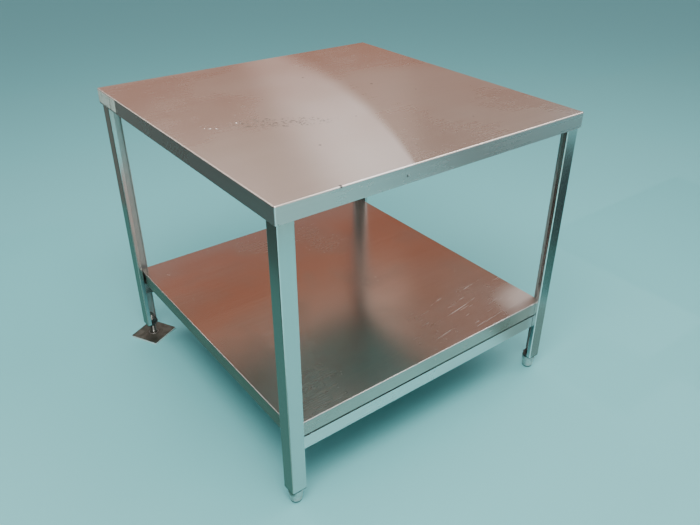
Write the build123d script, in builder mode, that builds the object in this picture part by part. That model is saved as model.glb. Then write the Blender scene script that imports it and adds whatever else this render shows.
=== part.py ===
"""Stainless work table: folded worktop, four lipped-angle legs, lower shelf and levelling feet.

Millimetres.  The origin is on the floor under the middle of the worktop, +X runs along the
front edge to the right, -Y is the front and +Z is up.
"""

from build123d import *
import os
from math import cos, radians, sin

os.makedirs("parts", exist_ok=True)

# Overall sizes
LENGTH = 900.0
DEPTH = 900.0
HEIGHT = 806.0
SHELF_HEIGHT = 240.0
FOOT_HEIGHT = 43.0

# Folded sheet: worktop and shelf
TOP_SHEET = 1.2
TOP_DROP = 40.0
TOP_BEND = 3.0
TOP_LIP = 12.0
RELIEF_RADIUS = 3.5
RELIEF_EDGE = 6.0
SHELF_SHEET = 1.0
SHELF_DROP = 40.0
SHELF_BEND = 2.0
SHELF_LIP = 14.0
SHELF_END_GAP = 4.0
SHELF_FRONT_GAP = 0.5

# Legs: lipped angles with the outer corner towards the table's corner
LEG_INSET = 5.5
LEG_FLANGE = 40.0
LEG_LIP = 12.0
LEG_SHEET = 1.5
LEG_BEND = 3.0

# Corner brackets between the legs and the worktop
BRACKET_SHEET = 2.5
BRACKET_ARM = 110.0
BRACKET_NOSE = 35.0
TAB_DROP = 35.0
TAB_EDGE = 3.0
STUD_ARM = 75.0
STUD_SIDE = 20.0
STUD_MIDDLE = 60.0
STUD_RADIUS = 3.0
STUD_LENGTH = 14.0
BOLT_HOLE_GAP = 0.2
NUT_ACROSS = 10.0
NUT_THICK = 5.0

# Hat-section stiffeners
HAT_WEB = 50.0
HAT_FOOT = 15.0
TOP_HAT_DEPTH = 25.0
SHELF_HAT_DEPTH = 20.0
HAT_SHEET = 1.2
TOP_HAT_SPACING = 300.0
SHELF_HAT_SPACING = 300.0

# Rails under the shelf, and what holds the shelf to them
RAIL_HEIGHT = 37.0
RAIL_WIDTH = 20.0
RAIL_SHEET = 1.5
RAIL_GAP = 5.5
RAIL_SIDE_GAP = 0.5
SPACER_RADIUS = 8.0
SPACER_EDGE = 0.5
SPACER_FROM_LEG = 30.0
SHELF_BOLT_RADIUS = 3.0
BOLT_HEAD_THICK = 4.0
BOLT_STICK_OUT = 2.0

# Foot fittings welded into the bottom of the legs
FOOT_PLATE_THICK = 4.0
FOOT_PLATE_CORNER = 4.0
FOOT_PLATE_CUT = 10.0
WELD_NUT_THICK = 10.0
THREAD_GAP = 0.05

# Bullet feet
BULLET_THREAD_RADIUS = 6.0
BULLET_THREAD_LENGTH = 60.0
BULLET_TOP_RADIUS = 18.5
BULLET_BOTTOM_RADIUS = 15.0
BULLET_SHOULDER = 10.0
BULLET_SEAM = 2.0
BULLET_EDGE = 1.5
BULLET_NUT_ACROSS = 18.0
GLIDE_THICK = 3.0
GLIDE_RADIUS = 14.0
GLIDE_STUB_RADIUS = 4.0
GLIDE_STUB_LENGTH = 7.0
GLIDE_GAP = 0.2

# Plate foot under the rear left leg
PLATE_SIDE = 98.0
PLATE_THICK = 5.0
PLATE_CORNER = 3.0
PLATE_TURN = 27.5
BOSS_RADIUS = 12.5
BOSS_HEIGHT = 5.0
PLATE_THREAD_RADIUS = 9.5
PLATE_THREAD_TOP = 75.0
PLATE_NUT_ACROSS = 27.0
SEAT_GAP = 0.2

# Blank labels on the left apron
LABEL_THICK = 0.3
LABEL_HEIGHT = 32.0
LABEL_CORNER = 2.0
LABEL_WIDTHS = {"label_wide": 80.0, "label_small": 32.0}
LABEL_GAP = 6.0
LABEL_FROM_REAR = 5.0

# Places that several pieces share
TOP_UNDERSIDE = HEIGHT - TOP_SHEET
APRON_BOTTOM = HEIGHT - TOP_DROP
LEG_TOP = TOP_UNDERSIDE - BRACKET_SHEET
SHELF_UNDERSIDE = SHELF_HEIGHT - SHELF_SHEET
SHELF_BOTTOM = SHELF_HEIGHT - SHELF_DROP
RAIL_TOP = SHELF_BOTTOM - RAIL_GAP
RAIL_FRONT = DEPTH / 2 - LEG_INSET - LEG_LIP - RAIL_SIDE_GAP
SHELF_LENGTH = LENGTH - 2 * (LEG_INSET + LEG_LIP + SHELF_END_GAP)
SHELF_DEPTH = DEPTH - 2 * (LEG_INSET + LEG_LIP + SHELF_FRONT_GAP)
FOOT_CENTRE = LEG_FLANGE / 2
BOLT_ROW = SHELF_DEPTH / 2 - SPACER_EDGE - SPACER_RADIUS
BOLT_COLUMN = LENGTH / 2 - LEG_INSET - LEG_FLANGE - SPACER_FROM_LEG

CORNERS = {
    "front_left": ((-1, -1), (1, 0, 0)),
    "front_right": ((1, -1), (0, 1, 0)),
    "rear_right": ((1, 1), (-1, 0, 0)),
    "rear_left": ((-1, 1), (0, -1, 0)),
}
PLATE_FOOT_CORNER = "rear_left"


def corner_plane(corner, height):
    """A level plane at a leg's outer corner, with both of its axes pointing into the table."""
    (side_x, side_y), first_axis = CORNERS[corner]
    x = side_x * (LENGTH / 2 - LEG_INSET)
    y = side_y * (DEPTH / 2 - LEG_INSET)
    return Plane(origin=(x, y, height), x_dir=first_axis, z_dir=(0, 0, 1))


def save(piece, name):
    piece.label = name
    export_step(piece, f"parts/{name}.step")


def folded_tray(length, depth, drop, top, sheet, bend, lip, corner_clear):
    """A sheet folded down on four sides, with a lip turned inwards along each bottom edge."""
    with BuildPart() as hollow:
        with BuildSketch(Plane.XY.offset(top - drop + sheet)):
            RectangleRounded(length - 2 * sheet, depth - 2 * sheet, bend)
        extrude(amount=drop - 2 * sheet)
        fillet(hollow.faces().sort_by(Axis.Z)[-1].edges(), bend - sheet)
    with BuildPart() as tray:
        with BuildSketch(Plane.XY.offset(top - drop)):
            RectangleRounded(length, depth, bend + sheet)
        extrude(amount=drop)
        fillet(tray.faces().sort_by(Axis.Z)[-1].edges(), bend)
        add(hollow.part, mode=Mode.SUBTRACT)
        with BuildSketch(Plane.XY.offset(top - drop)):
            RectangleRounded(length - 2 * sheet, depth - 2 * sheet, bend)
            for side in (-1, 1):
                with Locations((0, side * depth / 2)):
                    Rectangle(length - 2 * corner_clear, 2 * lip, mode=Mode.SUBTRACT)
                with Locations((side * length / 2, 0)):
                    Rectangle(2 * lip, depth - 2 * corner_clear, mode=Mode.SUBTRACT)
        extrude(amount=sheet, mode=Mode.SUBTRACT)
    return tray


def hat_channel(length, depth, y, top):
    """A hat section along X, with its two feet against the sheet above it."""
    with BuildPart() as channel:
        with BuildSketch(Plane(origin=(-length / 2, y, top), x_dir=(0, 1, 0), z_dir=(1, 0, 0))):
            with Locations((0, -depth / 2)):
                Rectangle(HAT_WEB, depth)
                Rectangle(HAT_WEB - 2 * HAT_SHEET, depth, mode=Mode.SUBTRACT)
            with Locations((0, HAT_SHEET / 2 - depth)):
                Rectangle(HAT_WEB, HAT_SHEET)
            for side in (-1, 1):
                with Locations((side * (HAT_WEB + HAT_FOOT) / 2, -HAT_SHEET / 2)):
                    Rectangle(HAT_FOOT, HAT_SHEET)
        extrude(amount=length)
    return channel


def lipped_angle(corner):
    """A leg: two flanges at a right angle, each with its free edge turned in as a lip."""
    with BuildPart() as leg:
        with BuildSketch(corner_plane(corner, FOOT_HEIGHT)):
            with Locations((LEG_FLANGE / 2, LEG_FLANGE / 2)):
                RectangleRounded(LEG_FLANGE, LEG_FLANGE, LEG_BEND)
                inner = LEG_FLANGE - 2 * LEG_SHEET
                RectangleRounded(inner, inner, LEG_BEND - LEG_SHEET, mode=Mode.SUBTRACT)
            with Locations((LEG_LIP, LEG_LIP)):
                Rectangle(LEG_FLANGE, LEG_FLANGE, align=(Align.MIN, Align.MIN), mode=Mode.SUBTRACT)
        extrude(amount=LEG_TOP - FOOT_HEIGHT)
    return leg


STUD_PLACES = [(STUD_ARM, STUD_SIDE), (STUD_SIDE, STUD_ARM), (STUD_MIDDLE, STUD_MIDDLE)]


def corner_bracket(corner):
    """A gusset under the worktop, with two tabs that lie against the insides of the leg."""
    with BuildPart() as bracket:
        with BuildSketch(corner_plane(corner, LEG_TOP)):
            with BuildLine():
                Polyline(
                    (0, 0),
                    (BRACKET_ARM, 0),
                    (BRACKET_ARM, BRACKET_NOSE),
                    (BRACKET_NOSE, BRACKET_ARM),
                    (0, BRACKET_ARM),
                    close=True,
                )
            make_face()
            with Locations(*STUD_PLACES):
                Circle(STUD_RADIUS + BOLT_HOLE_GAP, mode=Mode.SUBTRACT)
        extrude(amount=BRACKET_SHEET)
        tab_start = LEG_SHEET + BRACKET_SHEET + TAB_EDGE
        tab_width = LEG_FLANGE - LEG_SHEET - TAB_EDGE - tab_start
        with BuildSketch(corner_plane(corner, LEG_TOP - TAB_DROP)):
            with Locations((LEG_SHEET, tab_start)):
                Rectangle(BRACKET_SHEET, tab_width, align=(Align.MIN, Align.MIN))
            with Locations((tab_start, LEG_SHEET)):
                Rectangle(tab_width, BRACKET_SHEET, align=(Align.MIN, Align.MIN))
        extrude(amount=TAB_DROP)
    return bracket


def foot_fitting(corner, thread_radius, nut_across):
    """A plate across the leg's bottom, its inner corner cut off, with a nut for the foot's thread."""
    centre = (FOOT_CENTRE, FOOT_CENTRE)
    with BuildPart() as fitting:
        with BuildSketch(corner_plane(corner, FOOT_HEIGHT)):
            with Locations(centre):
                side = LEG_FLANGE - 2 * LEG_SHEET
                RectangleRounded(side, side, FOOT_PLATE_CORNER)
            with Locations(Location((LEG_FLANGE - LEG_SHEET, LEG_FLANGE - LEG_SHEET), 45)):
                Rectangle(2 * FOOT_PLATE_CUT, side, mode=Mode.SUBTRACT)
        extrude(amount=FOOT_PLATE_THICK)
        with BuildSketch(corner_plane(corner, FOOT_HEIGHT + FOOT_PLATE_THICK)):
            with Locations(centre):
                RegularPolygon(nut_across / 2, 6, major_radius=False)
        extrude(amount=WELD_NUT_THICK)
        with BuildSketch(corner_plane(corner, FOOT_HEIGHT)):
            with Locations(centre):
                Circle(thread_radius + THREAD_GAP)
        extrude(amount=FOOT_PLATE_THICK + WELD_NUT_THICK, mode=Mode.SUBTRACT)
    return fitting


def foot_axis(corner):
    """A vertical plane through a foot's axis, for profiles that are turned about it."""
    centre = corner_plane(corner, 0).from_local_coords((FOOT_CENTRE, FOOT_CENTRE, 0))
    return Plane(origin=centre, x_dir=(1, 0, 0), z_dir=(0, -1, 0))


def turned(corner, profile):
    """A piece turned on a lathe: the profile's points are (radius, height) on the foot's axis."""
    plane = foot_axis(corner)
    with BuildPart() as piece:
        with BuildSketch(plane):
            with BuildLine():
                Polyline(*profile, close=True)
            make_face()
        revolve(axis=Axis(plane.origin, (0, 0, 1)))
    return piece


def bullet(corner):
    """A tapered foot with its thread in one piece, hollow below for the glide's stub."""
    base = GLIDE_THICK + GLIDE_GAP
    top = FOOT_HEIGHT - BULLET_SEAM
    thread_top = top + BULLET_THREAD_LENGTH
    socket_radius = GLIDE_STUB_RADIUS + THREAD_GAP
    socket_top = GLIDE_THICK + GLIDE_STUB_LENGTH + GLIDE_GAP
    return turned(corner, [
        (socket_radius, base),
        (BULLET_BOTTOM_RADIUS - BULLET_EDGE, base),
        (BULLET_BOTTOM_RADIUS, base + BULLET_EDGE),
        (BULLET_TOP_RADIUS, top - BULLET_SHOULDER),
        (BULLET_TOP_RADIUS, top - BULLET_EDGE),
        (BULLET_TOP_RADIUS - BULLET_EDGE, top),
        (BULLET_THREAD_RADIUS, top),
        (BULLET_THREAD_RADIUS, thread_top - BULLET_EDGE),
        (BULLET_THREAD_RADIUS - BULLET_EDGE, thread_top),
        (0, thread_top),
        (0, socket_top),
        (socket_radius, socket_top),
    ])


def glide(corner):
    """The nylon sole that stays still on the floor while the bullet turns on its stub."""
    return turned(corner, [
        (0, 0),
        (GLIDE_RADIUS - GLIDE_THICK / 2, 0),
        (GLIDE_RADIUS, GLIDE_THICK / 2),
        (GLIDE_RADIUS, GLIDE_THICK),
        (GLIDE_STUB_RADIUS, GLIDE_THICK),
        (GLIDE_STUB_RADIUS, GLIDE_THICK + GLIDE_STUB_LENGTH),
        (0, GLIDE_THICK + GLIDE_STUB_LENGTH),
    ])


def bolt_places():
    """Where the shelf is bolted to its two rails."""
    return [(x * BOLT_COLUMN, y * BOLT_ROW) for x in (-1, 1) for y in (-1, 1)]


def hexagons(places, height, across, thick, hole_radius=0.0):
    """Nuts or bolt heads of one size at the given places, their undersides at one height."""
    with BuildPart() as group:
        with BuildSketch(Plane.XY.offset(height)):
            with Locations(*places):
                RegularPolygon(across / 2, 6, major_radius=False)
                if hole_radius:
                    Circle(hole_radius, mode=Mode.SUBTRACT)
        extrude(amount=thick)
    return group


# Worktop
top_tray = folded_tray(
    LENGTH, DEPTH, TOP_DROP, HEIGHT, TOP_SHEET, TOP_BEND, TOP_LIP, LEG_INSET + LEG_FLANGE + TAB_EDGE
)
relief_x = LENGTH / 2 - RELIEF_EDGE
with BuildPart() as top_panel:
    add(top_tray.part)
    for side in (-1, 1):
        outside = (0, side * DEPTH / 2, APRON_BOTTOM)
        with BuildSketch(Plane(origin=outside, x_dir=(1, 0, 0), z_dir=(0, -side, 0))):
            with Locations((-relief_x, 0), (relief_x, 0)):
                Circle(RELIEF_RADIUS)
        extrude(amount=TOP_SHEET + TOP_BEND, mode=Mode.SUBTRACT)
save(top_panel.part, "top_panel")

# Worktop stiffeners
top_hat_length = LENGTH - 2 * (TOP_SHEET + TOP_BEND)
for name, side in (("front", -1), ("rear", 1)):
    stiffener = hat_channel(top_hat_length, TOP_HAT_DEPTH, side * TOP_HAT_SPACING / 2, TOP_UNDERSIDE)
    save(stiffener.part, f"top_stiffener_{name}")

# Legs, their brackets and their foot fittings
for corner in CORNERS:
    save(lipped_angle(corner).part, f"leg_{corner}")
    save(corner_bracket(corner).part, f"leg_bracket_{corner}")
    if corner == PLATE_FOOT_CORNER:
        fitting = foot_fitting(corner, PLATE_THREAD_RADIUS, PLATE_NUT_ACROSS)
    else:
        fitting = foot_fitting(corner, BULLET_THREAD_RADIUS, BULLET_NUT_ACROSS)
    save(fitting.part, f"foot_fitting_{corner}")

# Studs welded under the worktop and their nuts
stud_places = [
    tuple(corner_plane(corner, 0).from_local_coords((u, v, 0)))[:2]
    for corner in CORNERS
    for u, v in STUD_PLACES
]
with BuildPart() as bracket_studs:
    with BuildSketch(Plane.XY.offset(TOP_UNDERSIDE - STUD_LENGTH)):
        with Locations(*stud_places):
            Circle(STUD_RADIUS)
    extrude(amount=STUD_LENGTH)
save(bracket_studs.part, "bracket_studs")
bracket_nuts = hexagons(
    stud_places, LEG_TOP - NUT_THICK, NUT_ACROSS, NUT_THICK, STUD_RADIUS + BOLT_HOLE_GAP
)
save(bracket_nuts.part, "bracket_nuts")

# Shelf and its stiffeners
shelf_tray = folded_tray(
    SHELF_LENGTH,
    SHELF_DEPTH,
    SHELF_DROP,
    SHELF_HEIGHT,
    SHELF_SHEET,
    SHELF_BEND,
    SHELF_LIP,
    SHELF_LIP + SHELF_BEND,
)
with BuildPart() as shelf_panel:
    add(shelf_tray.part)
    with BuildSketch(Plane.XY.offset(SHELF_BOTTOM)):
        with Locations(*bolt_places()):
            Circle(SHELF_BOLT_RADIUS + BOLT_HOLE_GAP)
    extrude(amount=SHELF_SHEET, mode=Mode.SUBTRACT)
save(shelf_panel.part, "shelf_panel")
shelf_hat_length = SHELF_LENGTH - 2 * (SHELF_SHEET + SHELF_BEND)
for name, side in (("front", -1), ("rear", 1)):
    stiffener = hat_channel(
        shelf_hat_length, SHELF_HAT_DEPTH, side * SHELF_HAT_SPACING / 2, SHELF_UNDERSIDE
    )
    save(stiffener.part, f"shelf_stiffener_{name}")

# Channel rails from leg to leg under the shelf's front and back
rail_length = LENGTH - 2 * (LEG_INSET + LEG_SHEET)
for name, side in (("front", -1), ("rear", 1)):
    middle = side * (RAIL_FRONT - RAIL_WIDTH / 2)
    with BuildPart() as rail:
        end_plane = Plane(
            origin=(-rail_length / 2, middle, RAIL_TOP - RAIL_HEIGHT / 2),
            x_dir=(0, 1, 0),
            z_dir=(1, 0, 0),
        )
        with BuildSketch(end_plane):
            Rectangle(RAIL_WIDTH, RAIL_HEIGHT)
            with Locations((-side * RAIL_SHEET, 0)):
                Rectangle(RAIL_WIDTH, RAIL_HEIGHT - 2 * RAIL_SHEET, mode=Mode.SUBTRACT)
        extrude(amount=rail_length)
        with BuildSketch(Plane.XY.offset(RAIL_TOP - RAIL_SHEET)):
            with Locations(*bolt_places()):
                Circle(SHELF_BOLT_RADIUS + BOLT_HOLE_GAP)
        extrude(amount=RAIL_SHEET, mode=Mode.SUBTRACT)
    save(rail.part, f"rail_{name}")

# Spacers, bolts and nuts that hold the shelf on its rails
with BuildPart() as shelf_spacers:
    with BuildSketch(Plane.XY.offset(RAIL_TOP)):
        with Locations(*bolt_places()):
            Circle(SPACER_RADIUS)
            Circle(SHELF_BOLT_RADIUS + BOLT_HOLE_GAP, mode=Mode.SUBTRACT)
    extrude(amount=RAIL_GAP)
save(shelf_spacers.part, "shelf_spacers")

head_bottom = RAIL_TOP - RAIL_SHEET - BOLT_HEAD_THICK
nut_bottom = SHELF_BOTTOM + SHELF_SHEET
with BuildPart() as shelf_bolts:
    with BuildSketch(Plane.XY.offset(head_bottom)):
        with Locations(*bolt_places()):
            RegularPolygon(NUT_ACROSS / 2, 6, major_radius=False)
    extrude(amount=BOLT_HEAD_THICK)
    with BuildSketch(Plane.XY.offset(head_bottom)):
        with Locations(*bolt_places()):
            Circle(SHELF_BOLT_RADIUS)
    extrude(amount=nut_bottom + NUT_THICK + BOLT_STICK_OUT - head_bottom)
save(shelf_bolts.part, "shelf_bolts")
shelf_nuts = hexagons(
    bolt_places(), nut_bottom, NUT_ACROSS, NUT_THICK, SHELF_BOLT_RADIUS + BOLT_HOLE_GAP
)
save(shelf_nuts.part, "shelf_nuts")

# Bullet feet and their glides
for corner in CORNERS:
    if corner != PLATE_FOOT_CORNER:
        save(bullet(corner).part, f"bullet_{corner}")
        save(glide(corner).part, f"glide_{corner}")

# Plate foot: base plate with a boss, and threaded spindle
plate_axis = foot_axis(PLATE_FOOT_CORNER).origin
plate_plane = Plane(
    origin=plate_axis,
    x_dir=(cos(radians(PLATE_TURN)), sin(radians(PLATE_TURN)), 0),
    z_dir=(0, 0, 1),
)
boss_top = PLATE_THICK + BOSS_HEIGHT
seat = PLATE_THICK + SEAT_GAP
with BuildPart() as foot_plate:
    with BuildSketch(plate_plane):
        RectangleRounded(PLATE_SIDE, PLATE_SIDE, PLATE_CORNER)
    extrude(amount=PLATE_THICK)
    with BuildSketch(plate_plane.offset(PLATE_THICK)):
        Circle(BOSS_RADIUS)
        Circle(PLATE_THREAD_RADIUS + THREAD_GAP, mode=Mode.SUBTRACT)
    extrude(amount=BOSS_HEIGHT)
save(foot_plate.part, "foot_plate")

foot_spindle = turned(PLATE_FOOT_CORNER, [
    (0, seat),
    (PLATE_THREAD_RADIUS, seat),
    (PLATE_THREAD_RADIUS, PLATE_THREAD_TOP - BULLET_EDGE),
    (PLATE_THREAD_RADIUS - BULLET_EDGE, PLATE_THREAD_TOP),
    (0, PLATE_THREAD_TOP),
])
save(foot_spindle.part, "foot_spindle")

# Blank labels side by side on the left apron
rear_edge = DEPTH / 2 - LABEL_FROM_REAR
apron_middle = (-LENGTH / 2, 0, APRON_BOTTOM + TOP_DROP / 2)
apron_plane = Plane(origin=apron_middle, x_dir=(0, 1, 0), z_dir=(-1, 0, 0))
for name, width in LABEL_WIDTHS.items():
    with BuildPart() as label:
        with BuildSketch(apron_plane):
            with Locations((rear_edge - width / 2, 0)):
                RectangleRounded(width, LABEL_HEIGHT, LABEL_CORNER)
        extrude(amount=LABEL_THICK)
    save(label.part, name)
    rear_edge -= width + LABEL_GAP
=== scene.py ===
import math
import bpy
import bmesh
from mathutils import Matrix, Vector


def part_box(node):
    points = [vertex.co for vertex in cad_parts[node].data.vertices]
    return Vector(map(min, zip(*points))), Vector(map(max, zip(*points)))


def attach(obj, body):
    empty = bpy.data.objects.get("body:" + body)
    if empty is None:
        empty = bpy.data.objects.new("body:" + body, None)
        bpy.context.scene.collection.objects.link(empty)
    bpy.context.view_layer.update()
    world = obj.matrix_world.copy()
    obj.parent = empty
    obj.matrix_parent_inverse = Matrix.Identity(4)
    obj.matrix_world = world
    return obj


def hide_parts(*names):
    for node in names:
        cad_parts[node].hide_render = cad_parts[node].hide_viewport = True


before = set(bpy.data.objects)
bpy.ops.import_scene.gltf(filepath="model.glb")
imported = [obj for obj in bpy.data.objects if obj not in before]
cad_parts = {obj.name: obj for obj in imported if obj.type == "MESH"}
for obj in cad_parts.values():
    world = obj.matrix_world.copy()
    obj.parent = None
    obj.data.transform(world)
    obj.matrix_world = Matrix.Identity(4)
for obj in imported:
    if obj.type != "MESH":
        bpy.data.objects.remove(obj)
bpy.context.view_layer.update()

# ---------------------------------------------------------------------------------------------
# Worktop: one sheet of stainless with a satin brushed face, folded down on four sides into an
# apron and welded at its corners. Years of work have left it finely scratched and marked by a
# trail of dried splashes. On its top are a painted warm reflection and a broad lighter band of
# painted reflection, with a part left of the band painted darker as a painted dark reflection.


class Paint:
    """A material's node tree, with short ways to add and join its nodes."""

    MIX_FIRST, MIX_SECOND, MIX_RESULT = 6, 7, 2  # where a colour goes in and out of a mix node

    def __init__(self, name):
        self.material = bpy.data.materials.new(name)
        self.material.use_nodes = True
        self.tree = self.material.node_tree
        self.shader = self.tree.nodes["Principled BSDF"]
        coordinates = self.tree.nodes.new("ShaderNodeTexCoord")
        self.place = coordinates.outputs["Object"]
        self.facing = self.parts_of(coordinates.outputs["Normal"])
        self.where = self.parts_of(self.place)
        self.colour = self.roughness = self.normal = None

    def parts_of(self, vector):
        node = self.tree.nodes.new("ShaderNodeSeparateXYZ")
        self.tree.links.new(vector, node.inputs[0])
        return node.outputs

    def set(self, **values):
        for socket, value in values.items():
            self.shader.inputs[socket.replace("_", " ")].default_value = value

    def feed(self, node, socket, value):
        if isinstance(value, bpy.types.NodeSocket):
            self.tree.links.new(value, node.inputs[socket])
        else:
            node.inputs[socket].default_value = value

    def maths(self, operation, first, second=0.0):
        node = self.tree.nodes.new("ShaderNodeMath")
        node.operation = operation
        self.feed(node, 0, first)
        self.feed(node, 1, second)
        return node.outputs[0]

    def most(self, first, *others):
        for other in others:
            first = self.maths("MAXIMUM", first, other)
        return first

    def least(self, first, *others):
        for other in others:
            first = self.maths("MINIMUM", first, other)
        return first

    def product(self, first, *others):
        for other in others:
            first = self.maths("MULTIPLY", first, other)
        return first

    def total(self, first, *others):
        for other in others:
            first = self.maths("ADD", first, other)
        return first

    def vector(self, x, y, z):
        node = self.tree.nodes.new("ShaderNodeCombineXYZ")
        for axis, value in zip("XYZ", (x, y, z)):
            self.feed(node, axis, value)
        return node.outputs[0]

    def stretched(self, scale, turn=0.0, shift=(0, 0, 0)):
        """The place measured from a shifted point, turned about Z and then scaled."""
        node = self.tree.nodes.new("ShaderNodeMapping")
        node.vector_type = "TEXTURE"
        self.feed(node, "Vector", self.place)
        node.inputs["Location"].default_value = shift
        node.inputs["Rotation"].default_value = (0, 0, turn)
        node.inputs["Scale"].default_value = tuple(1 / s for s in scale)
        return node.outputs[0]

    def noise(self, vector, scale=1.0, detail=2.0, rough=0.5, twist=0.0):
        node = self.tree.nodes.new("ShaderNodeTexNoise")
        self.feed(node, "Vector", vector)
        node.inputs["Scale"].default_value = scale
        node.inputs["Detail"].default_value = detail
        node.inputs["Roughness"].default_value = rough
        node.inputs["Distortion"].default_value = twist
        return node.outputs["Fac"]

    def band(self, value, low, high, out_low=0.0, out_high=1.0):
        """Maps a value from one range to another, smoothly and with clamped ends."""
        node = self.tree.nodes.new("ShaderNodeMapRange")
        node.interpolation_type = "SMOOTHSTEP"
        self.feed(node, "Value", value)
        sockets = ("From Min", "From Max", "To Min", "To Max")
        for socket, number in zip(sockets, (low, high, out_low, out_high)):
            self.feed(node, socket, number)
        return node.outputs["Result"]

    def mix(self, share, first, second, blend="MIX"):
        node = self.tree.nodes.new("ShaderNodeMix")
        node.data_type = "RGBA"
        node.blend_type = blend
        self.feed(node, 0, share)
        for socket, colour in ((self.MIX_FIRST, first), (self.MIX_SECOND, second)):
            self.feed(node, socket, (*colour, 1) if isinstance(colour, tuple) else colour)
        return node.outputs[self.MIX_RESULT]

    def bump(self, height, distance, normal=None):
        node = self.tree.nodes.new("ShaderNodeBump")
        self.feed(node, "Height", height)
        node.inputs["Distance"].default_value = distance
        if normal is not None:
            self.feed(node, "Normal", normal)
        return node.outputs["Normal"]

    def squares(self, across, along):
        return self.total(self.product(across, across), self.product(along, along))

    def round_spot(self, across_at, along_at, radius, core=0.35, axes=(0, 1)):
        """1 at the middle of a round mark, falling to 0 at its edge; its core is a share of it."""
        across = self.maths("SUBTRACT", self.where[axes[0]], across_at)
        along = self.maths("SUBTRACT", self.where[axes[1]], along_at)
        return self.band(self.maths("SQRT", self.squares(across, along)), radius, radius * core)

    def oval(self, reach, turn, centre, core):
        """1 at the middle of an oval mark on a level sheet, falling to 0 at its edge."""
        scale = (1 / reach[0], 1 / reach[1], 1.0)
        part = self.parts_of(self.stretched(scale, turn, (*centre, 0.0)))
        return self.band(self.squares(part[0], part[1]), 1.0, core)

    def coat(self, *nodes):
        """Joins the finished colour, roughness and bump, and puts the material on CAD pieces."""
        self.feed(self.shader, "Base Color", self.colour)
        self.feed(self.shader, "Roughness", self.roughness)
        self.feed(self.shader, "Normal", self.normal)
        for name in nodes:
            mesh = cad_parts[name].data
            mesh.materials.clear()
            mesh.materials.append(self.material)


def shaded(colour, share):
    return tuple(min(1.0, c * share) for c in colour)


def brushed(name, colour, grain, rough, spread=0.06, anisotropic=0.6, waves=0.0006, scratched=0.5):
    """Satin stainless with a hairline grain along X or Z, faint wipe marks, scratches, waves and a painted
    highlight along its bends.
    """
    paint = Paint(name)
    paint.set(Metallic=1.0, Anisotropic=anisotropic)
    faces_x, faces_y, faces_z = (paint.maths("ABSOLUTE", part) for part in paint.facing)
    hairs, streaks = (1500, 9), (170, 1.5)  # per metre, across and along the grain
    if grain == "Z":
        side = paint.vector(faces_y, faces_x, 0.0)
        fine, coarse = ((across, across, along) for across, along in (hairs, streaks))
    else:
        side = paint.vector(0.0, paint.maths("SUBTRACT", 1.0, faces_y), faces_y)
        fine, coarse = ((along, across, across) for across, along in (hairs, streaks))
    paint.feed(paint.shader, "Tangent", side)
    hairline = paint.noise(paint.stretched(fine), detail=1.0)
    streak = paint.noise(paint.stretched(coarse), detail=3.0, rough=0.6)
    wipes = paint.wipes = paint.noise(paint.place, scale=3.2, detail=3.0, rough=0.45, twist=0.2)
    scuffs = paint.noise(paint.place, scale=45.0, detail=4.0, rough=0.7)
    scratches = []
    for turn, shift in ((0.35, 0.1), (-0.7, 2.3), (1.25, 4.7)):
        line = paint.noise(paint.stretched((2.5, 750, 750), turn, (shift, shift, shift)), detail=0.0)
        patch = paint.noise(paint.stretched((3.5, 3.5, 3.5), turn, (shift, 0, 0)), detail=1.0)
        scratches.append(paint.product(paint.band(line, 0.75, 0.81), paint.band(patch, 0.52, 0.70)))
    marks = paint.most(*scratches)
    paint.roughness = paint.total(
        paint.band(wipes, 0.3, 0.7, rough, rough + spread),
        paint.band(streak, 0.3, 0.7, -0.008, 0.008),
        paint.band(scuffs, 0.56, 0.74, 0.0, 0.03),
        paint.product(marks, 0.12 * scratched),
    )
    tint = paint.mix(paint.band(streak, 0.25, 0.75), shaded(colour, 0.975), shaded(colour, 1.02))
    tint = paint.mix(paint.band(wipes, 0.45, 0.75, 0.0, 0.45), tint, shaded(colour, 0.93))
    tint = paint.mix(paint.product(marks, 0.5 * scratched), tint, shaded(colour, 1.3))
    # Where the sheet turns at a bend its colour is lifted to near white: a painted highlight along the
    # bends
    bend_highlight = paint.band(paint.most(faces_x, faces_y, faces_z), 0.985, 0.93)
    paint.colour = paint.mix(paint.product(bend_highlight, 0.85), tint, (0.97, 0.96, 0.94))
    grain_height = paint.total(paint.product(hairline, 0.7), paint.product(streak, 0.3))
    paint.normal = paint.bump(grain_height, 0.000004)
    slow = paint.noise(paint.place, scale=3.0, detail=1.0)
    paint.normal = paint.bump(slow, waves, paint.normal)
    return paint


worktop = brushed(
    "satin_worktop", (0.655, 0.655, 0.645), "X", rough=0.25, anisotropic=0.7, scratched=0.06
)
worktop.set(Metallic=0.93)
x, y, z = worktop.where
top_low, top_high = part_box("top_panel")
BEND = 0.0028
on_top = worktop.band(z, top_high.z - BEND, top_high.z - BEND / 2)

# A warm tint over the whole top, a painted warm reflection, and across it a broad lighter band, a
# painted reflection of light: the band is crisp and slightly curved on its right, and fades out on
# its left into a part painted darker, a painted dark reflection.
WARM_REFLECTION_TINT = (0.89, 0.775, 0.715)
REFLECTION_BAND_COLOUR = (0.96, 0.925, 0.91)
DARK_REFLECTION_COLOUR = (0.45, 0.375, 0.33)
worktop.colour = worktop.mix(on_top, worktop.colour, WARM_REFLECTION_TINT, "MULTIPLY")
# Each edge of it lies at an offset across the top, with a slope and then a curve along the depth
crisp_edge = worktop.total(0.068, worktop.product(y, 0.288), worktop.product(y, y, -0.256))
faint_edge = worktop.total(-0.215, worktop.product(y, 0.36), worktop.product(worktop.wipes, 0.10))
past_crisp = worktop.maths("SUBTRACT", x, crisp_edge)
past_faint = worktop.maths("SUBTRACT", x, faint_edge)
softness = worktop.total(0.034, worktop.product(y, 0.06))
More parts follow.
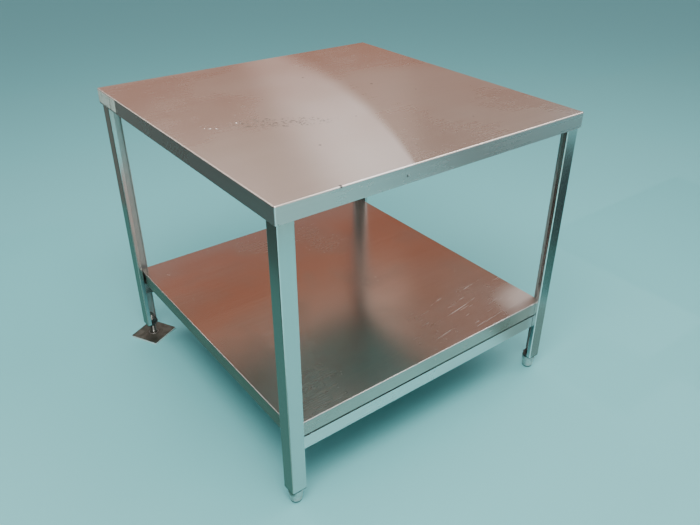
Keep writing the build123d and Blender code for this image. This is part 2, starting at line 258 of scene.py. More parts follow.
# The broad lighter band across the top, a painted reflection of light
reflection_band = worktop.product(
    worktop.band(worktop.maths("DIVIDE", past_crisp, softness), 1.0, -1.0),
    worktop.band(past_faint, -0.12, 0.14),
    worktop.band(y, 0.5, -0.35, 0.62, 1.0),
    on_top,
)
worktop.colour = worktop.mix(worktop.product(reflection_band, 0.88), worktop.colour, REFLECTION_BAND_COLOUR)
# Left of the band's faint edge the top is painted darker: a painted dark reflection
dark_reflection = worktop.product(worktop.band(past_faint, 0.06, -0.06), on_top, 0.42)
worktop.colour = worktop.mix(dark_reflection, worktop.colour, DARK_REFLECTION_COLOUR)
worktop.roughness = worktop.total(worktop.roughness, worktop.product(reflection_band, 0.05))

# A trail of dried splashes with single ones round it, and wet drops at the trail's left end
TRAIL_REACH, TRAIL_TURN, TRAIL_CENTRE = (0.16, 0.040), math.radians(-27), (-0.205, -0.072)
DRIED_SPLASH = (0.15, 0.11, 0.085)
WET_DROP = (0.95, 0.93, 0.92)
DROP_HEIGHT = 0.0022
inside_trail = worktop.oval(TRAIL_REACH, TRAIL_TURN, TRAIL_CENTRE, 0.2)
specks = worktop.noise(worktop.place, scale=120.0, detail=5.0, rough=0.7)
dried = worktop.product(worktop.band(specks, 0.52, 0.62), inside_trail)
for spot in (
    (-0.284, -0.055, 0.006), (-0.243, -0.022, 0.010), (-0.216, -0.032, 0.007), (-0.182, -0.066, 0.009),
    (-0.161, -0.123, 0.006), (-0.120, -0.088, 0.006), (-0.21, -0.248, 0.005), (0.17, 0.05, 0.006),
    (0.236, -0.06, 0.005), (0.05, 0.21, 0.006), (0.20, -0.31, 0.004), (-0.03, -0.14, 0.005),
):
    ragged = worktop.product(worktop.round_spot(*spot), worktop.band(specks, 0.40, 0.60))
    dried = worktop.most(dried, ragged)
dried = worktop.product(dried, on_top)
worktop.colour = worktop.mix(worktop.product(dried, 0.85), worktop.colour, DRIED_SPLASH)
worktop.roughness = worktop.total(worktop.roughness, worktop.product(dried, 0.15))
drops = worktop.most(*(worktop.round_spot(*spot) for spot in (
    (-0.353, -0.013, 0.0045), (-0.364, -0.006, 0.0030), (-0.341, -0.022, 0.0035),
    (-0.285, -0.013, 0.0040), (-0.278, -0.020, 0.0025),
)))
drops = worktop.product(drops, on_top)
worktop.roughness = worktop.mix(drops, worktop.roughness, (0.04, 0.04, 0.04))
worktop.colour = worktop.mix(drops, worktop.colour, WET_DROP)
worktop.normal = worktop.bump(drops, DROP_HEIGHT, worktop.normal)

# Two small knocks in front, drawn in colour only: a painted shade on the bend, and on the apron a painted
# shade with a painted highlight in its middle
KNOCK_SHADE_BEND, KNOCK_SHADE_APRON, KNOCK_GLINT = (0.05, 0.045, 0.04), (0.08, 0.08, 0.08), (0.95, 0.95, 0.95)
on_front = worktop.band(y, top_low.y + 0.010, top_low.y + 0.0035)
for knock_x, knock_drop, knock_radius, knock_colour in (
    (-0.300, 0.0010, 0.0045, KNOCK_SHADE_BEND),
    (-0.131, 0.0220, 0.0045, KNOCK_SHADE_APRON),
    (-0.129, 0.0210, 0.0020, KNOCK_GLINT),
):
    knock = worktop.round_spot(knock_x, top_high.z - knock_drop, knock_radius, core=0.4, axes=(0, 2))
    knock = worktop.product(knock, on_front)
    worktop.colour = worktop.mix(worktop.product(knock, 0.85), worktop.colour, knock_colour)
    worktop.roughness = worktop.total(worktop.roughness, worktop.product(knock, 0.1))
worktop.coat("top_panel")

# ---------------------------------------------------------------------------------------------
# Top stiffeners: two hat-section channels of mill-finish sheet along the underside of the
# worktop, each held by a row of resistance spot welds through both of its feet.


def mill(name, colour, rough, spots=0.25):
    """Mill-finish steel that was never brushed: cloudy, with water spots and handling marks."""
    paint = Paint(name)
    paint.set(Metallic=1.0)
    cloud = paint.noise(paint.place, scale=14.0, detail=5.0, rough=0.65, twist=0.5)
    grit = paint.noise(paint.place, scale=260.0, detail=2.0)
    paint.colour = paint.mix(paint.band(cloud, 0.35, 0.65), shaded(colour, 0.82), colour)
    paint.colour = paint.mix(paint.band(grit, 0.62, 0.72, 0.0, spots), paint.colour, shaded(colour, 0.5))
    paint.roughness = paint.total(
        paint.band(cloud, 0.3, 0.7, rough, rough + 0.12), paint.band(grit, 0.5, 0.7, 0.0, 0.05)
    )
    paint.normal = paint.bump(grit, 0.00003)
    paint.normal = paint.bump(cloud, 0.0003, paint.normal)
    return paint


def ring(x, y, z, radius, count):
    turns = (2 * math.pi * i / count for i in range(count))
    return [(x + radius * math.cos(a), y + radius * math.sin(a), z) for a in turns]


def skin(mesh, rings, closed=False):
    """A skin through rings of points, closed by a cap at each end or joined end to end."""
    rows = [[mesh.verts.new(point) for point in row] for row in rings]
    pairs = list(zip(rows, rows[1:]))
    if closed:
        pairs.append((rows[-1], rows[0]))
    else:
        mesh.faces.new(reversed(rows[0]))
        mesh.faces.new(rows[-1])
    for low, high in pairs:
        for i in range(len(low)):
            j = (i + 1) % len(low)
            mesh.faces.new((low[i], low[j], high[j], high[i]))


def piece(name, mesh, body, slot, paint, *hidden, crease=35):
    """Turns a bmesh into a piece that rides on a CAD body, and may stand for CAD nodes."""
    bmesh.ops.recalc_face_normals(mesh, faces=mesh.faces[:])
    data = bpy.data.meshes.new(name)
    mesh.to_mesh(data)
    mesh.free()
    data.shade_smooth()
    data.set_sharp_from_angle(angle=math.radians(crease))
    data.materials.append(paint.material)
    made = bpy.data.objects.new(name, data)
    bpy.context.collection.objects.link(made)
    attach(made, body)
    if hidden:
        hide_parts(*hidden)


def middle(node):
    low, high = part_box(node)
    return (low + high) / 2


stiffener_paint = mill("mill_finish_sheet", (0.52, 0.52, 0.51), 0.34)
stiffener_paint.coat(
    "top_stiffener_front", "top_stiffener_rear", "shelf_stiffener_front", "shelf_stiffener_rear"
)

SPOT_RADIUS = 0.003
SPOT_PITCH = 0.055
SPOT_POINTS = 14
HAT_FOOT = 0.015
HAT_SHEET = 0.0012


def spot_welds(name, stiffener):
    """Shallow ringed dimples in two rows, one along each foot of a hat section."""
    low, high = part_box(stiffener)
    under = high.z - HAT_SHEET
    dimple = ((0.3, -0.00005), (0.55, -0.0001), (0.8, -0.0003), (1.0, -0.0001), (1.0, 0.00005))
    mesh = bmesh.new()
    count = int((high.x - low.x) / SPOT_PITCH)
    for row_y in (low.y + HAT_FOOT / 2, high.y - HAT_FOOT / 2):
        for i in range(count):
            row_x = middle(stiffener).x + (i - (count - 1) / 2) * SPOT_PITCH
            skin(mesh, [ring(row_x, row_y, under + z, SPOT_RADIUS * r, SPOT_POINTS) for r, z in dimple])
    piece(name, mesh, "frame", "frame_steel", weld_paint)


weld_paint = mill("weld_metal", (0.42, 0.39, 0.37), 0.36, spots=0.5)
weld_paint.coat()
spot_welds("spot_welds_top_front", "top_stiffener_front")
spot_welds("spot_welds_top_rear", "top_stiffener_rear")

# ---------------------------------------------------------------------------------------------
# Legs: satin angle with both free edges turned in as lips, the outer corner towards the table's
# corner. The outside was brushed after folding; the inside of the section is dull, and painted
# darker as a painted shade in the hollow of the section.

CORNERS = ("front_left", "front_right", "rear_right", "rear_left")
BULLET_CORNERS = CORNERS[:3]
LEG_SHEET = 0.0015
LEG_FLANGE = 0.040
EDGE_BLUR = 0.0002
SHADED_DULL_INSIDE = (0.56, 0.58, 0.55)

leg_paint = brushed("satin_angle", (0.64, 0.64, 0.63), "Z", rough=0.17, waves=0.0005, scratched=0.3)
leg_low, leg_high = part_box("leg_front_right")
depth_x = leg_paint.maths("SUBTRACT", leg_high.x, leg_paint.maths("ABSOLUTE", leg_paint.where[0]))
depth_y = leg_paint.maths("SUBTRACT", -leg_low.y, leg_paint.maths("ABSOLUTE", leg_paint.where[1]))
half_sheet = LEG_SHEET / 2
inside = leg_paint.band(
    leg_paint.least(
        leg_paint.maths("SUBTRACT", depth_x, half_sheet),
        leg_paint.maths("SUBTRACT", depth_y, half_sheet),
        leg_paint.maths("SUBTRACT", LEG_FLANGE - half_sheet, depth_x),
        leg_paint.maths("SUBTRACT", LEG_FLANGE - half_sheet, depth_y),
    ),
    -EDGE_BLUR,
    EDGE_BLUR,
)
# The inside of the section is made duller and darker: a duller finish, and a painted shade in the hollow of
# the section
leg_paint.colour = leg_paint.mix(leg_paint.product(inside, 0.7), leg_paint.colour, SHADED_DULL_INSIDE)
leg_paint.feed(leg_paint.shader, "Metallic", leg_paint.band(inside, 0.0, 1.0, 1.0, 0.45))
leg_paint.roughness = leg_paint.total(leg_paint.roughness, leg_paint.product(inside, 0.10))

# A painted shade round the bottom: a dark line at the seam with the foot fitting
SEAM_SHADE = (0.03, 0.035, 0.03)
SEAM = 0.0028
seam_shade = leg_paint.band(leg_paint.where[2], leg_low.z + SEAM, leg_low.z + SEAM * 0.6)
leg_paint.colour = leg_paint.mix(leg_paint.product(seam_shade, 0.9), leg_paint.colour, SEAM_SHADE)
leg_paint.coat(*(f"leg_{corner}" for corner in CORNERS))

# ---------------------------------------------------------------------------------------------
# Leg brackets: a plate under the worktop at each corner with two tabs welded inside the leg,
# bolted up to studs on the worktop's underside. The nuts are chamfered M6 hexagons.

bracket_paint = mill("bracket_plate", (0.50, 0.495, 0.485), 0.30)
bracket_paint.coat(*(f"leg_bracket_{corner}" for corner in CORNERS))


def fastener(name, colour, rough):
    """Machined stainless: fine turning rings, small knocks and a slightly dulled skin."""
    paint = Paint(name)
    paint.set(Metallic=1.0)
    turning = paint.noise(paint.stretched((40, 40, 3000)), detail=1.0)
    tarnish = paint.noise(paint.place, scale=70.0, detail=4.0, rough=0.65)
    paint.colour = paint.mix(paint.band(tarnish, 0.4, 0.7), colour, shaded(colour, 0.68))
    paint.roughness = paint.total(
        paint.band(tarnish, 0.35, 0.7, rough, rough + 0.16), paint.band(turning, 0.3, 0.7, -0.03, 0.03)
    )
    paint.normal = paint.bump(turning, 0.00004)
    paint.normal = paint.bump(tarnish, 0.00012, paint.normal)
    return paint


def solids_of(node):
    """The lowest and highest corner of each separate solid in a CAD node."""
    mesh = bmesh.new()
    mesh.from_mesh(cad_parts[node].data)
    bmesh.ops.remove_doubles(mesh, verts=mesh.verts[:], dist=1e-6)
    found, seen = [], set()
    for start in mesh.verts:
        if start in seen:
            continue
        seen.add(start)
        solid, waiting = [], [start]
        while waiting:
            vertex = waiting.pop()
            solid.append(vertex.co.copy())
            for edge in vertex.link_edges:
                other = edge.other_vert(vertex)
                if other not in seen:
                    seen.add(other)
                    waiting.append(other)
        low = Vector(min(p[i] for p in solid) for i in range(3))
        high = Vector(max(p[i] for p in solid) for i in range(3))
        found.append((low, high))
    mesh.free()
    return found


HEX_POINTS = 24
SIXTH = math.radians(60)


def hexagon_rings(x, y, low, high, across, chamfer_high=True):
    """Rings of a hexagon prism whose corners are turned off by a 30 degree chamfer."""
    flat = across / 2
    face = flat * 0.96
    bevel = 0.09 * across
    steps = [
        (0.0, face), (0.02, face + bevel * 0.6), (0.06, face + bevel * 1.2), (0.10, face + bevel * 2.5)
    ]
    upper = steps if chamfer_high else [(0.0, across)]
    levels = [(low + share * across, limit) for share, limit in steps]
    levels += [(high - share * across, limit) for share, limit in reversed(upper)]
    rings = []
    for z, limit in levels:
        row = []
        for i in range(HEX_POINTS):
            angle = 2 * math.pi * i / HEX_POINTS
            radius = min(limit, flat / math.cos(angle % SIXTH - SIXTH / 2))
            row.append((x + radius * math.cos(angle), y + radius * math.sin(angle), z))
        rings.append(row)
    return rings


THREAD_ROWS = 5


def thread_rings(x, y, low, high, radius, pitch, count=HEX_POINTS):
    """Rings of a screw thread that dies out over its last turn."""
    depth = 0.55 * pitch
    rows = max(2, round((high - low) / pitch * THREAD_ROWS))
    rings = []
    for step in range(rows + 1):
        z = low + (high - low) * step / rows
        limit = radius - depth * max(0.0, 1 - (high - z) / pitch)
        row = []
        for i in range(count):
            wave = (z / pitch - i / count) % 1.0
            crest = radius - depth * (1 - abs(2 * wave - 1))
            reach = min(limit, crest)
            angle = 2 * math.pi * i / count
            row.append((x + reach * math.cos(angle), y + reach * math.sin(angle), z))
        rings.append(row)
    return rings


NUT_HOLE = 0.0031
NUT_FLARE = 0.0006
M6_PITCH = 0.001
STUD_LEAD = 0.85


def nuts(name, node, paint):
    """Chamfered M6 hexagon nuts that stand for a CAD node of plain ones."""
    mesh = bmesh.new()
    for low, high in solids_of(node):
        x, y = (low.x + high.x) / 2, (low.y + high.y) / 2
        outside = hexagon_rings(x, y, low.z, high.z, min(high.x - low.x, high.y - low.y))
        flared = NUT_HOLE * 1.16
        inner = [ring(x, y, z, r, HEX_POINTS) for z, r in (
            (high.z, flared), (high.z - NUT_FLARE, NUT_HOLE), (low.z + NUT_FLARE, NUT_HOLE), (low.z, flared)
        )]
        skin(mesh, outside + inner, closed=True)
    piece(name, mesh, "frame", "fastener_steel", paint, node, crease=25)


bolt_paint = fastener("machined_fastener", (0.58, 0.57, 0.55), 0.24)
bolt_paint.coat()
nuts("bracket_hex_nuts", "bracket_nuts", bolt_paint)

stud_mesh = bmesh.new()
for low, high in solids_of("bracket_studs"):
    stud = (low + high) / 2
    rings = thread_rings(stud.x, stud.y, low.z, high.z, (high.x - low.x) / 2, M6_PITCH)
    tip = Vector((stud.x, stud.y, low.z))
    rings[0] = [tip.lerp(Vector(point), STUD_LEAD) for point in rings[0]]
    skin(stud_mesh, rings)
piece("bracket_threaded_studs", stud_mesh, "frame", "fastener_steel", bolt_paint, "bracket_studs")


BEAD_RADIUS = 0.0014
BEAD_POINTS = 8


def weld_bead(mesh, path, radius=BEAD_RADIUS, closed=False):
    """A ripple-surfaced bead of weld metal along a path of points."""
    ripple = 0.18
    rings = []
    for step, point in enumerate(path):
        before = path[step - 1] if step or closed else point
        after = path[(step + 1) % len(path)] if step + 1 < len(path) or closed else point
        run = (Vector(after) - Vector(before)).normalized()
        upright = abs(run.z) > 0.5
        side = (run.orthogonal() if upright else run.cross(Vector((0, 0, 1)))).normalized()
        up = run.cross(side)
        swell = radius * (1 - ripple + ripple * abs(math.sin(step * math.pi / 3)))
        if not closed and step in (0, len(path) - 1):
            swell *= 0.4
        turns = (2 * math.pi * i / BEAD_POINTS for i in range(BEAD_POINTS))
        rings.append([Vector(point) + swell * (math.cos(a) * side + math.sin(a) * up) for a in turns])
    skin(mesh, rings, closed)


def straight(start, end, step=0.0005):
    start, end = Vector(start), Vector(end)
    count = max(4, round((end - start).length / step))
    return [start.lerp(end, i / count) for i in range(count + 1)]


def beads_in_legs(mesh, level, near, far, depth):
    """Two level beads in every leg, one along the inside of each of its outer flanges."""
    for corner in CORNERS:
        low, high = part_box(f"leg_{corner}")
        side_x = 1 if middle(f"leg_{corner}").x > 0 else -1
        side_y = 1 if middle(f"leg_{corner}").y > 0 else -1
        outer_x = side_x * max(abs(low.x), abs(high.x))
        outer_y = side_y * max(abs(low.y), abs(high.y))
        for ends in (((near, depth), (far, depth)), ((depth, near), (depth, far))):
            start, end = ((outer_x - side_x * u, outer_y - side_y * v, level) for u, v in ends)
            weld_bead(mesh, straight(start, end))


TAB_DROP = 0.035
bracket_beads = bmesh.new()
beads_in_legs(bracket_beads, leg_high.z - TAB_DROP, near=0.009, far=0.034, depth=LEG_SHEET + 0.0004)
piece("bracket_weld_beads", bracket_beads, "frame", "frame_steel", weld_paint, crease=60)

# ---------------------------------------------------------------------------------------------
# Shelf: a second folded sheet with two hat stiffeners below, duller than the worktop, with pale
# rub marks near its front right corner and grey cloudy stains where wet pans have stood.

# The shelf's steel is given a warm brown colour: a painted warm reflection
shelf = brushed("satin_shelf", (0.56, 0.46, 0.42), "X", rough=0.20, spread=0.04, scratched=0.12)
WATER_STAIN = (0.36, 0.335, 0.30)
stain = shelf.noise(shelf.place, scale=5.0, detail=3.0, rough=0.5, twist=0.3)
shelf.colour = shelf.mix(shelf.band(stain, 0.42, 0.68, 0.0, 0.30), shelf.colour, WATER_STAIN)
shelf.roughness = shelf.total(shelf.roughness, shelf.band(stain, 0.42, 0.68, 0.0, 0.04))

# Pale rubs in an oval near the front right corner, and the corner itself rubbed bright and dull
RUB_REACH, RUB_TURN, RUB_CENTRE = (0.24, 0.12), math.radians(6), (0.24, -0.33)
RUBBED = (0.86, 0.80, 0.78)
POLISHED = (0.88, 0.85, 0.80)
rub_line = shelf.noise(shelf.stretched((9, 150, 150), math.radians(8)), detail=2.0)
rubbed_part = shelf.oval(RUB_REACH, RUB_TURN, RUB_CENTRE, 0.3)
rubs = shelf.product(shelf.band(rub_line, 0.64, 0.70), rubbed_part)
shelf.colour = shelf.mix(shelf.product(rubs, 0.55), shelf.colour, RUBBED)
shelf.roughness = shelf.total(shelf.roughness, shelf.product(rubs, 0.18))
polished_corner = shelf.round_spot(0.42, -0.43, 0.15)
shelf.colour = shelf.mix(shelf.product(polished_corner, 0.5), shelf.colour, POLISHED)
shelf.roughness = shelf.total(shelf.roughness, shelf.product(polished_corner, 0.12))
shelf.coat("shelf_panel")
spot_welds("spot_welds_shelf_front", "shelf_stiffener_front")
spot_welds("spot_welds_shelf_rear", "shelf_stiffener_rear")

# ---------------------------------------------------------------------------------------------
# Shelf rails: channels from leg to leg under the shelf's front and rear, open inwards, with a
# short weld bead down each end where the rail passes behind the leg's lip.

rail_paint = brushed("satin_rail", (0.78, 0.78, 0.77), "X", rough=0.24, waves=0.0004, scratched=0.4)
rail_paint.coat("rail_front", "rail_rear")

RAIL_BEAD = 0.0012
BEAD_END = 0.002
rail_beads = bmesh.new()
for rail in ("rail_front", "rail_rear"):
    low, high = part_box(rail)
    face_y = low.y if middle(rail).y < 0 else high.y
    for side_x in (-1, 1):
        lip_x = side_x * (leg_high.x - LEG_FLANGE - RAIL_BEAD * 0.3)
        foot, head = (lip_x, face_y, low.z + BEAD_END), (lip_x, face_y, high.z - BEAD_END)
        weld_bead(rail_beads, straight(foot, head), RAIL_BEAD)
piece("rail_weld_beads", rail_beads, "frame", "frame_steel", weld_paint, crease=60)

# ---------------------------------------------------------------------------------------------
# Shelf fixings: at four places a nylon spacer stands on the rail, and an M6 bolt goes up through
# rail, spacer and the shelf's lip into a chamfered nut.


def nylon(name, colour):
    """Moulded nylon: matt, faintly mottled, with fine scuffs."""
    paint = Paint(name)
    mottle = paint.noise(paint.place, scale=120.0, detail=3.0)
    scuff = paint.noise(paint.stretched((60, 700, 700), 0.4), detail=1.0)
    paint.colour = paint.mix(paint.band(mottle, 0.35, 0.7), colour, shaded(colour, 2.1))
    paint.roughness = paint.total(
        paint.band(mottle, 0.3, 0.7, 0.42, 0.58), paint.band(scuff, 0.6, 0.7, 0.0, 0.12)
    )
    paint.normal = paint.bump(mottle, 0.00008)
    paint.normal = paint.bump(scuff, 0.00003, paint.normal)
    return paint


nylon_paint = nylon("black_nylon", (0.020, 0.020, 0.021))
nylon_paint.coat("shelf_spacers", *(f"glide_{corner}" for corner in BULLET_CORNERS))

nuts("shelf_hex_nuts", "shelf_nuts", bolt_paint)

BOLT_HEAD = 0.004
BOLT_RADIUS = 0.003
bolt_mesh = bmesh.new()
for low, high in solids_of("shelf_bolts"):
    bolt_x, bolt_y = (low.x + high.x) / 2, (low.y + high.y) / 2
    across = min(high.x - low.x, high.y - low.y)
    head = hexagon_rings(bolt_x, bolt_y, low.z, low.z + BOLT_HEAD, across, chamfer_high=False)
    shank = thread_rings(bolt_x, bolt_y, low.z + BOLT_HEAD, high.z, BOLT_RADIUS, M6_PITCH)
    skin(bolt_mesh, head + shank)
piece("shelf_hex_bolts", bolt_mesh, "frame", "fastener_steel", bolt_paint, "shelf_bolts", crease=25)

# ---------------------------------------------------------------------------------------------
# Foot fittings: a plate welded across the bottom of each leg with a nut for the foot's thread.
# Two beads run inside the leg where the plate meets its flanges.

# The fitting's steel is painted far darker than the other plates: a painted shade in the seam under the leg
fitting_paint = mill("fitting_plate", (0.16, 0.165, 0.16), 0.40, spots=0.4)
fitting_paint.coat(*(f"foot_fitting_{corner}" for corner in CORNERS))

FITTING_PLATE = 0.004
fitting_beads = bmesh.new()
beads_in_legs(fitting_beads, leg_low.z + FITTING_PLATE, near=0.008, far=0.034, depth=0.0022)
piece("fitting_weld_beads", fitting_beads, "frame", "frame_steel", weld_paint, crease=60)

# ---------------------------------------------------------------------------------------------
# Bullet feet: turned stainless, tapered, with an M12 thread that screws up into the leg. Each
# turns on a black nylon sole that stays still on the floor.

FOOT_POINTS = 48
BULLET_PITCH = 0.00175
BULLET_THREAD = 0.006
BULLET_SEAM = 0.002
SOLE_HOLE = 0.0041
SOLE_HOLE_TOP = 0.0102
foot_paint = fastener("turned_foot", (0.66, 0.65, 0.63), 0.30)
# The top of each bullet, just under the leg, carries the same painted shade of the seam
foot_seam_shade = foot_paint.product(
    foot_paint.band(foot_paint.where[2], leg_low.z - 0.0045, leg_low.z - SEAM),
    foot_paint.band(foot_paint.where[2], leg_low.z + 0.004, leg_low.z + 0.002),
)
foot_paint.colour = foot_paint.mix(foot_paint.product(foot_seam_shade, 0.9), foot_paint.colour, SEAM_SHADE)
foot_paint.coat()
for corner in BULLET_CORNERS:
    bullet = f"bullet_{corner}"
    low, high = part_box(bullet)
    foot_x, foot_y = middle(bullet).x, middle(bullet).y
    wide = (high.x - low.x) / 2
    narrow = wide - 0.0035
    shoulder = leg_low.z - BULLET_SEAM
    sole_hole = [(SOLE_HOLE - 0.0006, SOLE_HOLE_TOP), (SOLE_HOLE, SOLE_HOLE_TOP), (SOLE_HOLE, low.z)]
    rounded_toe = [
        (narrow - 0.0022, low.z), (narrow - 0.0010, low.z + 0.0004),
        (narrow - 0.0003, low.z + 0.0012), (narrow, low.z + 0.0024),
    ]
    turned_groove = [
        (narrow + 0.0008, low.z + 0.0085), (narrow + 0.0004, low.z + 0.0090),
        (narrow + 0.0005, low.z + 0.0098), (narrow + 0.0012, low.z + 0.0103),
    ]
    rounded_shoulder = [
        (wide - 0.0002, shoulder - 0.0110), (wide, shoulder - 0.0095), (wide, shoulder - 0.0018),
        (wide - 0.0005, shoulder - 0.0006), (wide - 0.0018, shoulder), (wide - 0.0060, shoulder),
    ]
    thread_start = [(BULLET_THREAD, shoulder), (BULLET_THREAD - 0.0009, shoulder + 0.0009)]
    outline = sole_hole + rounded_toe + turned_groove + rounded_shoulder + thread_start
    mesh = bmesh.new()
    rings = [ring(foot_x, foot_y, z, r, FOOT_POINTS) for r, z in outline]
    rings += thread_rings(
        foot_x, foot_y, shoulder + 0.0015, high.z, BULLET_THREAD, BULLET_PITCH, FOOT_POINTS
    )
    skin(mesh, rings)
    piece(f"turned_{bullet}", mesh, bullet, "foot_steel", foot_paint, bullet, crease=28)

# ---------------------------------------------------------------------------------------------
# Plate foot under the rear left leg: a square steel plate, stained brown on top with bright cut
# edges, a boss with a weld bead round it, and an M20 spindle that screws up into the leg.

PLATE_THICK = 0.005
BOSS_RADIUS = 0.0125
BOSS_BEAD = 0.0019
BOSS_BEAD_STEPS = 150
SPINDLE_PITCH = 0.0025
STAIN_DARK, STAIN_LIGHT, STAIN_PITS = (0.075, 0.075, 0.058), (0.15, 0.147, 0.118), (0.05, 0.04, 0.03)
CUT_STEEL = (0.86, 0.87, 0.84)

plate_paint = Paint("stained_plate")
blotch = plate_paint.noise(plate_paint.place, scale=28.0, detail=6.0, rough=0.66, twist=1.0)
pits = plate_paint.noise(plate_paint.place, scale=330.0, detail=3.0)
stained = plate_paint.mix(plate_paint.band(blotch, 0.35, 0.65), STAIN_DARK, STAIN_LIGHT)
stained = plate_paint.mix(plate_paint.band(pits, 0.6, 0.7, 0.0, 0.5), stained, STAIN_PITS)
upright = plate_paint.band(plate_paint.maths("ABSOLUTE", plate_paint.facing[2]), 0.8, 0.4)
below_top = plate_paint.band(plate_paint.where[2], PLATE_THICK + 0.0008, PLATE_THICK - 0.0001)
cut_edge = plate_paint.product(upright, below_top)
plate_paint.colour = plate_paint.mix(cut_edge, stained, CUT_STEEL)
plate_paint.feed(plate_paint.shader, "Metallic", plate_paint.band(cut_edge, 0.0, 1.0, 0.55, 0.25))
plate_paint.roughness = plate_paint.band(blotch, 0.3, 0.7, 0.30, 0.46)
plate_paint.normal = plate_paint.bump(pits, 0.00006)
plate_paint.normal = plate_paint.bump(blotch, 0.0004, plate_paint.normal)
plate_paint.coat("foot_plate")

spindle_low, spindle_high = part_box("foot_spindle")
spindle_x, spindle_y = middle("foot_spindle").x, middle("foot_spindle").y
spindle_radius = (spindle_high.x - spindle_low.x) / 2
spindle_mesh = bmesh.new()
skin(spindle_mesh, thread_rings(
    spindle_x, spindle_y, spindle_low.z, spindle_high.z, spindle_radius, SPINDLE_PITCH, FOOT_POINTS
))
spindle_paint = fastener("spindle_steel", (0.34, 0.33, 0.30), 0.32)
spindle_paint.coat()
piece(
    "threaded_spindle", spindle_mesh, "foot_spindle", "foot_steel", spindle_paint, "foot_spindle", crease=28
)

boss_bead = bmesh.new()
boss_path = ring(spindle_x, spindle_y, PLATE_THICK + 0.0002, BOSS_RADIUS + 0.0008, BOSS_BEAD_STEPS)
weld_bead(boss_bead, boss_path, BOSS_BEAD, closed=True)
piece("boss_weld_bead", boss_bead, "foot_plate", "plate_steel", weld_paint, crease=60)

# ---------------------------------------------------------------------------------------------
# Labels: two blank pieces of off-white film stuck side by side on the left apron's rear end,
# yellowed a little, with grubby patches.

FILM_WHITE, FILM_GRUBBY = (0.72, 0.73, 0.64), (0.33, 0.34, 0.29)
label_paint = Paint("label_film")
label_paint.set(Coat_Weight=0.25)
grime = label_paint.noise(label_paint.place, scale=110.0, detail=4.0, rough=0.7)
fibre = label_paint.noise(label_paint.place, scale=900.0, detail=2.0)
grubby = label_paint.band(grime, 0.52, 0.62, 0.0, 0.75)
label_paint.colour = label_paint.mix(grubby, FILM_WHITE, FILM_GRUBBY)
label_paint.roughness = label_paint.band(grime, 0.35, 0.7, 0.34, 0.55)
label_paint.normal = label_paint.bump(fibre, 0.00002)
label_paint.normal = label_paint.bump(grime, 0.00010, label_paint.normal)
label_paint.coat("label_wide", "label_small")

# ---------------------------------------------------------------------------------------------
# Studio: a plain pale floor, soft lights overhead, and cards that only the steel reflects: a
# warm one behind the table, pale and bright ones round and above it, dark and teal ones low down.

FLOOR_HALF = 12.0
FLOOR_COLOUR = (0.20, 0.61, 0.62)
SKY_COLOUR, SKY_STRENGTH = (0.93, 0.95, 1.0), 0.45
floor_mesh = bmesh.new()
bmesh.ops.create_grid(floor_mesh, x_segments=1, y_segments=1, size=FLOOR_HALF)
floor_data = bpy.data.meshes.new("floor")
floor_mesh.to_mesh(floor_data)
floor_mesh.free()
floor = bpy.data.objects.new("floor", floor_data)
bpy.context.collection.objects.link(floor)
floor_paint = Paint("pale_floor")
floor_paint.set(Base_Color=(*FLOOR_COLOUR, 1), Roughness=0.6)
floor_data.materials.append(floor_paint.material)

world = bpy.data.worlds.new("studio")
world.use_nodes = True
background = world.node_tree.nodes["Background"]
background.inputs["Color"].default_value = (*SKY_COLOUR, 1)
background.inputs["Strength"].default_value = SKY_STRENGTH
bpy.context.scene.world = world


def studio_card(name, corners, colour, strength):
    """A flat card that is seen only in reflections and casts no shadow."""
    data = bpy.data.meshes.new(name)
    data.from_pydata(corners, [], [tuple(range(len(corners)))])
    card = bpy.data.objects.new(name, data)
    bpy.context.collection.objects.link(card)
    card.visible_camera = False
    card.visible_diffuse = False
    card.visible_shadow = False
    material = bpy.data.materials.new(name)
    material.use_nodes = True
    tree = material.node_tree
    tree.nodes.clear()
    glow = tree.nodes.new("ShaderNodeEmission")
    glow.inputs["Color"].default_value = (*colour, 1)
    glow.inputs["Strength"].default_value = strength
    output = tree.nodes.new("ShaderNodeOutputMaterial")
    tree.links.new(glow.outputs[0], output.inputs["Surface"])
    data.materials.append(material)


def wall(x_left, x_right, y, z_low, z_high):
    return [(x_left, y, z_low), (x_right, y, z_low), (x_right, y, z_high), (x_left, y, z_high)]


def screen(x, y_front, y_rear, z_low, z_high):
    return [(x, y_front, z_low), (x, y_rear, z_low), (x, y_rear, z_high), (x, y_front, z_high)]


def level(x_left, x_right, y_front, y_rear, z):
    return [(x_left, y_front, z), (x_right, y_front, z), (x_right, y_rear, z), (x_left, y_rear, z)]


BEHIND = 1.40
SKIRTING, HORIZON, CEILING = 0.78, 1.46, 3.0
ON_FLOOR = 0.002

studio_card("warm_card", wall(-0.35, 2.7, BEHIND, SKIRTING, HORIZON), (0.47, 0.175, 0.095), 1.0)
studio_card("pale_card_above", wall(-0.35, 1.6, BEHIND, HORIZON, CEILING), (0.86, 0.69, 0.59), 1.0)
studio_card("pale_card_above_right", wall(1.6, 3.2, BEHIND, HORIZON, CEILING), (0.39, 0.24, 0.175), 1.0)
studio_card("pale_card_right", wall(2.7, 5.0, BEHIND + 0.001, 0.0, HORIZON), (0.50, 0.45, 0.41), 1.0)
studio_card("bright_card_left", wall(-2.6, -0.75, BEHIND - 0.04, 1.0, 2.0), (1.0, 0.94, 0.88), 3.0)
studio_card("dark_card_rear_left", wall(-3.0, -0.35, BEHIND, 0.0, 1.15), (0.85, 1.0, 0.9), 0.17)
studio_card("dark_card_left", screen(-1.0, -0.6, BEHIND, 0.0, 1.15), (0.8, 1.0, 0.9), 0.06)
studio_card("teal_card_left", level(-1.0, -0.452, -0.9, BEHIND, ON_FLOOR), (0.30, 0.85, 0.76), 0.30)
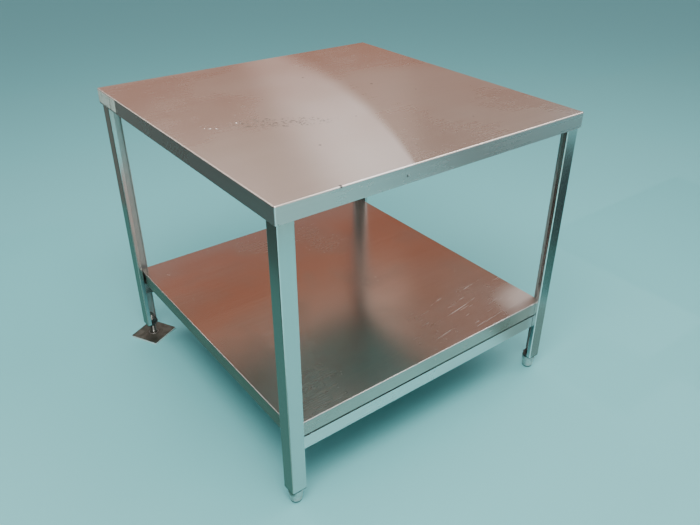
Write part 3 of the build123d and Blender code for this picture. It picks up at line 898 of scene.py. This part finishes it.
studio_card("dark_card_right", level(1.1, 2.15, -1.66, 0.1, ON_FLOOR), (0.45, 0.8, 0.8), 0.10)
studio_card("teal_card_right", level(0.74, 1.1, -1.25, -0.64, ON_FLOOR), (0.28, 0.78, 0.72), 0.22)
studio_card("teal_card_corner", level(0.46, 0.74, -0.74, -0.462, ON_FLOOR), (0.45, 0.90, 0.84), 0.40)
studio_card("dull_card_front", level(0.95, 2.0, -2.3, -1.68, ON_FLOOR), (0.8, 1.0, 0.95), 0.20)
studio_card("teal_card_front", level(-0.3, 0.85, -2.3, -1.68, ON_FLOOR), (0.62, 0.98, 0.88), 0.66)
studio_card("pale_card_front", wall(-3.2, 3.4, -2.9, 0.5, CEILING), (0.97, 1.0, 0.97), 1.1)
studio_card("bright_card_above", level(0.5, 3.2, -0.8, -0.3, 2.6), (1.0, 0.99, 0.96), 7.0)


def soft_light(name, place, target, size, power):
    """A white rectangular light at one place, turned to face another."""
    lamp = bpy.data.lights.new(name, "AREA")
    lamp.shape = "RECTANGLE"
    lamp.size, lamp.size_y = size
    lamp.energy = power
    lamp_object = bpy.data.objects.new(name, lamp)
    lamp_object.location = place
    lamp_object.rotation_euler = (Vector(target) - Vector(place)).to_track_quat("-Z", "Y").to_euler()
    bpy.context.collection.objects.link(lamp_object)


LAMPS = 2.8
soft_light("ceiling_light_right", (1.75, -0.5, LAMPS), (1.75, -0.5, 0), size=(2.8, 1.5), power=38)
soft_light("ceiling_light_front", (-0.9, -1.2, LAMPS), (-0.7, -0.9, 0), size=(1.8, 1.4), power=84)
soft_light("ceiling_light_rear", (-0.4, 1.3, LAMPS), (-0.4, 1.3, 0), size=(2.4, 1.0), power=28)

# ---------------------------------------------------------------------------------------------
# Camera: at a standing person's eye, in front of the table's left corner, looking down on it.

EYE = (-1.0064, -1.4177, 1.349)
LOOK_AROUND, LOOK_DOWN, LEAN = (math.radians(angle) for angle in (-38.454, 31.053, 0.807))
LENS, SENSOR_WIDTH = 35.24, 36.0
camera_data = bpy.data.cameras.new("camera")
camera_data.lens = LENS
camera_data.sensor_width = SENSOR_WIDTH
camera_data.shift_x, camera_data.shift_y = -0.0227, 0.0059
camera_object = bpy.data.objects.new("camera", camera_data)
camera_object.location = EYE
turn = Matrix.Rotation(LOOK_AROUND, 3, "Z") @ Matrix.Rotation(math.radians(90) - LOOK_DOWN, 3, "X")
camera_object.rotation_euler = (turn @ Matrix.Rotation(LEAN, 3, "Z")).to_euler()
bpy.context.collection.objects.link(camera_object)
bpy.context.scene.camera = camera_object
